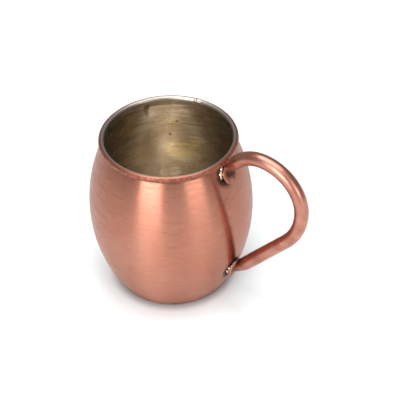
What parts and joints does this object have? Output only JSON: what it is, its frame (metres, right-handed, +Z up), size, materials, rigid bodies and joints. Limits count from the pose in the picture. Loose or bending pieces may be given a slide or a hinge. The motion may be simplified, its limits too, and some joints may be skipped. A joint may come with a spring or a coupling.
{
  "type": "barrel mug",
  "caption": "Barrel-shaped copper mug with a bright metal lining, a soldered ring round the mouth and a bent tube handle on two small pads.",
  "frame": {"origin": "centre of the underside, on the plane that the mug stands on", "axes": "+Z up along the barrel's own axis, +X towards the handle, whose loop lies in the XZ plane"},
  "size_m": [0.1357, 0.0926, 0.1093],
  "materials": {
    "copper": "bare copper, finely brushed round the barrel",
    "copper_tube": "bare copper tube, smoother than the barrel, brushed along its length",
    "lining_metal": "dull white metal, wiped on and brushed round, with darker stains",
    "solder": "bright soft solder with a dark flux stain at its edge"
  },
  "bodies": {
    "root": {"body_shell": "copper", "lining": "lining_metal", "rim_ring": "copper", "rim_joint_solder": "solder", "handle_tube": "copper_tube", "upper_pad": "copper_tube", "lower_pad": "copper_tube", "upper_solder": "solder", "lower_solder": "solder"}
  },
  "joints": []
}
